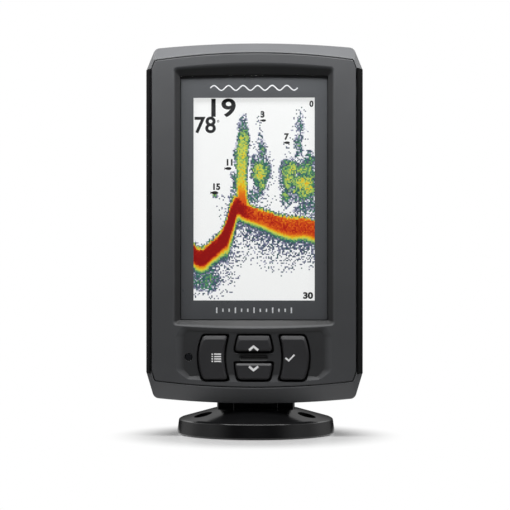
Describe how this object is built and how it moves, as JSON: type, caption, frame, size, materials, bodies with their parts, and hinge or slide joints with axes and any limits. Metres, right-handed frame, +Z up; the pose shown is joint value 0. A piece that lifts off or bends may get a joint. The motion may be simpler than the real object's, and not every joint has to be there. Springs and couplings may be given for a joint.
{
  "type": "fish finder",
  "caption": "Portrait sonar fish finder: sealed display head with colour screen and keys, tilting in a two-armed yoke that swivels on a round screw-down base.",
  "frame": {"origin": "centre of the base's underside, on the mounting surface", "axes": "+X to the viewer's right, +Y to the back (the screen faces -Y), +Z up"},
  "size_m": [0.0996, 0.074, 0.1808],
  "materials": {
    "charcoal_plastic": "fine moulded texture, dark charcoal grey",
    "gloss_black_plastic": "polished black",
    "matte_black_plastic": "satin black",
    "key_plastic": "satin, near black",
    "grip_rubber": "soft black",
    "pad_rubber": "closed-cell foam rubber",
    "seal_rubber": "smooth",
    "silicone": "translucent grey silicone",
    "clear_window": "clear acrylic, polished",
    "border_print": "printed charcoal border behind the window",
    "screen_picture": "lit colour display",
    "print_white": "white pad print",
    "white_plastic": "white light guide",
    "flex_film": "amber polyimide film",
    "board_laminate": "green solder mask",
    "chip_resin": "moulded epoxy",
    "capacitor_can": "drawn can",
    "ferrite": "sintered ferrite",
    "light_lens": "smoked grey light pipe",
    "steel": "zinc-plated steel",
    "brass": "turned brass"
  },
  "bodies": {
    "base": {"mount_base": "gloss_black_plastic", "base_pad": "pad_rubber"},
    "yoke": {"swivel_yoke": "gloss_black_plastic", "swivel_insert": "brass", "swivel_screw": "steel", "swivel_washer": "steel", "swivel_spring": "steel", "tilt_bolt": "steel", "friction_washers": "matte_black_plastic", "knob_washer": "steel"},
    "knob": {"tilt_knob": "matte_black_plastic", "knob_insert": "brass"},
    "head": {"rear_housing": "charcoal_plastic", "housing_seal": "seal_rubber", "housing_screws": "steel", "grip_left": "grip_rubber", "grip_right": "grip_rubber", "front_bezel": "charcoal_plastic", "display_window": "clear_window", "window_mask": "border_print", "window_gasket": "seal_rubber", "lcd_glass": "screen_picture", "lcd_backlight": "white_plastic", "lcd_frame": "steel", "lcd_flex": "flex_film", "main_board": "board_laminate", "board_chips": "chip_resin", "board_capacitors": "capacitor_can", "sonar_transformer": "ferrite", "beeper": "chip_resin", "board_screws": "steel", "key_switches": "steel", "keypad_membrane": "silicone", "status_light": "light_lens", "power_socket": "matte_black_plastic", "sonar_socket": "matte_black_plastic", "socket_nuts": "steel", "socket_seals": "seal_rubber", "socket_pins": "brass"},
    "key_menu": {"button_menu": "key_plastic"},
    "key_up": {"button_up": "key_plastic"},
    "key_down": {"button_down": "key_plastic"},
    "key_check": {"button_check": "key_plastic"}
  },
  "joints": [
    {"name": "swivel", "type": "hinge", "parent": "base", "child": "yoke", "pos_m": [0, 0, 0], "axis": [0, 0, 1], "range_deg": [-90, 90]},
    {"name": "tilt", "type": "hinge", "parent": "yoke", "child": "head", "pos_m": [0, 0.02, 0.05], "axis": [-1, 0, 0], "range_deg": [-4, 40]},
    {"name": "knob_turn", "type": "hinge", "parent": "yoke", "child": "knob", "pos_m": [0, 0.02, 0.05], "axis": [1, 0, 0], "range_deg": [0, 360]},
    {"name": "press_menu", "type": "slide", "parent": "head", "child": "key_menu", "axis": [0, 1, 0], "range_m": [0, 0.0012], "stiffness_N_per_m": 900, "deforming": ["keypad_membrane"]},
    {"name": "press_up", "type": "slide", "parent": "head", "child": "key_up", "axis": [0, 1, 0], "range_m": [0, 0.0012], "stiffness_N_per_m": 900, "deforming": ["keypad_membrane"]},
    {"name": "press_down", "type": "slide", "parent": "head", "child": "key_down", "axis": [0, 1, 0], "range_m": [0, 0.0012], "stiffness_N_per_m": 900, "deforming": ["keypad_membrane"]},
    {"name": "press_check", "type": "slide", "parent": "head", "child": "key_check", "axis": [0, 1, 0], "range_m": [0, 0.0012], "stiffness_N_per_m": 900, "deforming": ["keypad_membrane"]}
  ]
}
